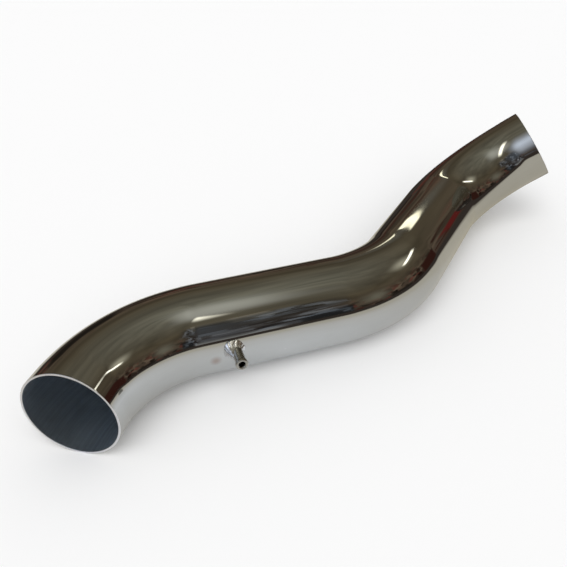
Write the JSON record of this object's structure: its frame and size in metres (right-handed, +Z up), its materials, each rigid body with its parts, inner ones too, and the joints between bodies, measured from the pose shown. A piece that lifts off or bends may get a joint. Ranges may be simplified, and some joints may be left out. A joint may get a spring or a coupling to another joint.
{
  "type": "air intake tube",
  "caption": "Bent round air intake tube with open square-cut ends and a small welded hose nipple on its long straight.",
  "frame": {"origin": "centre of the overall box, on the surface that the tube lies on", "axes": "+X along the long straight from the inlet towards the outlet, +Z up from the surface that the tube lies on, -Y on the inlet and nipple side"},
  "size_m": [0.5728, 0.2796, 0.1196],
  "materials": {
    "polished_tube": "mirror polished outside, dull as-drawn grey inside",
    "turned_nipple": "bright turned",
    "weld": "rippled weld metal, lightly brushed"
  },
  "bodies": {
    "root": {"intake_tube": "polished_tube", "port_nipple": "turned_nipple", "weld_bead": "weld"}
  },
  "joints": []
}
